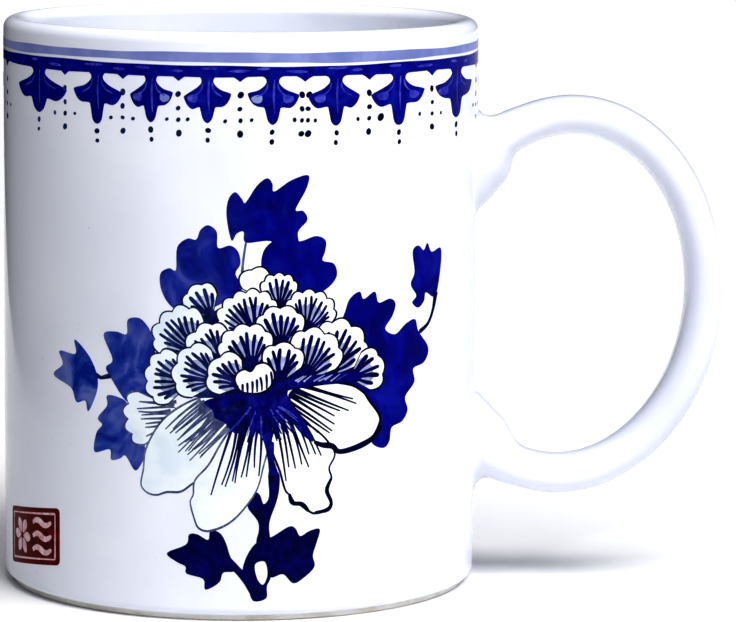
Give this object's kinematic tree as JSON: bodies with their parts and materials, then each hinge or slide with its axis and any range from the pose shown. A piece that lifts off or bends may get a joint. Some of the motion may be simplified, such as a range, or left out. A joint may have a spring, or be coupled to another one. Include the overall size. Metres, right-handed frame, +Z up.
{
  "type": "teacup",
  "caption": "Straight-sided glazed ceramic tea mug with a looped strap handle, painted with a blue flower spray and a border round the rim.",
  "frame": {"origin": "on the standing surface, under the middle of the whole outline, wall and handle together", "axes": "+Z up along the mug's axis, +X towards the handle, +Y across the mug; the painted flower faces -Y"},
  "size_m": [0.125, 0.082, 0.098],
  "materials": {
    "glaze": "gloss",
    "bare_clay": "matte",
    "cobalt_paint": "gloss",
    "red_enamel": "gloss"
  },
  "bodies": {
    "root": {"cup_body": "glaze", "handle": "glaze", "upper_slip_joint": "glaze", "lower_slip_joint": "glaze", "foot_ring": "bare_clay"}
  },
  "joints": []
}
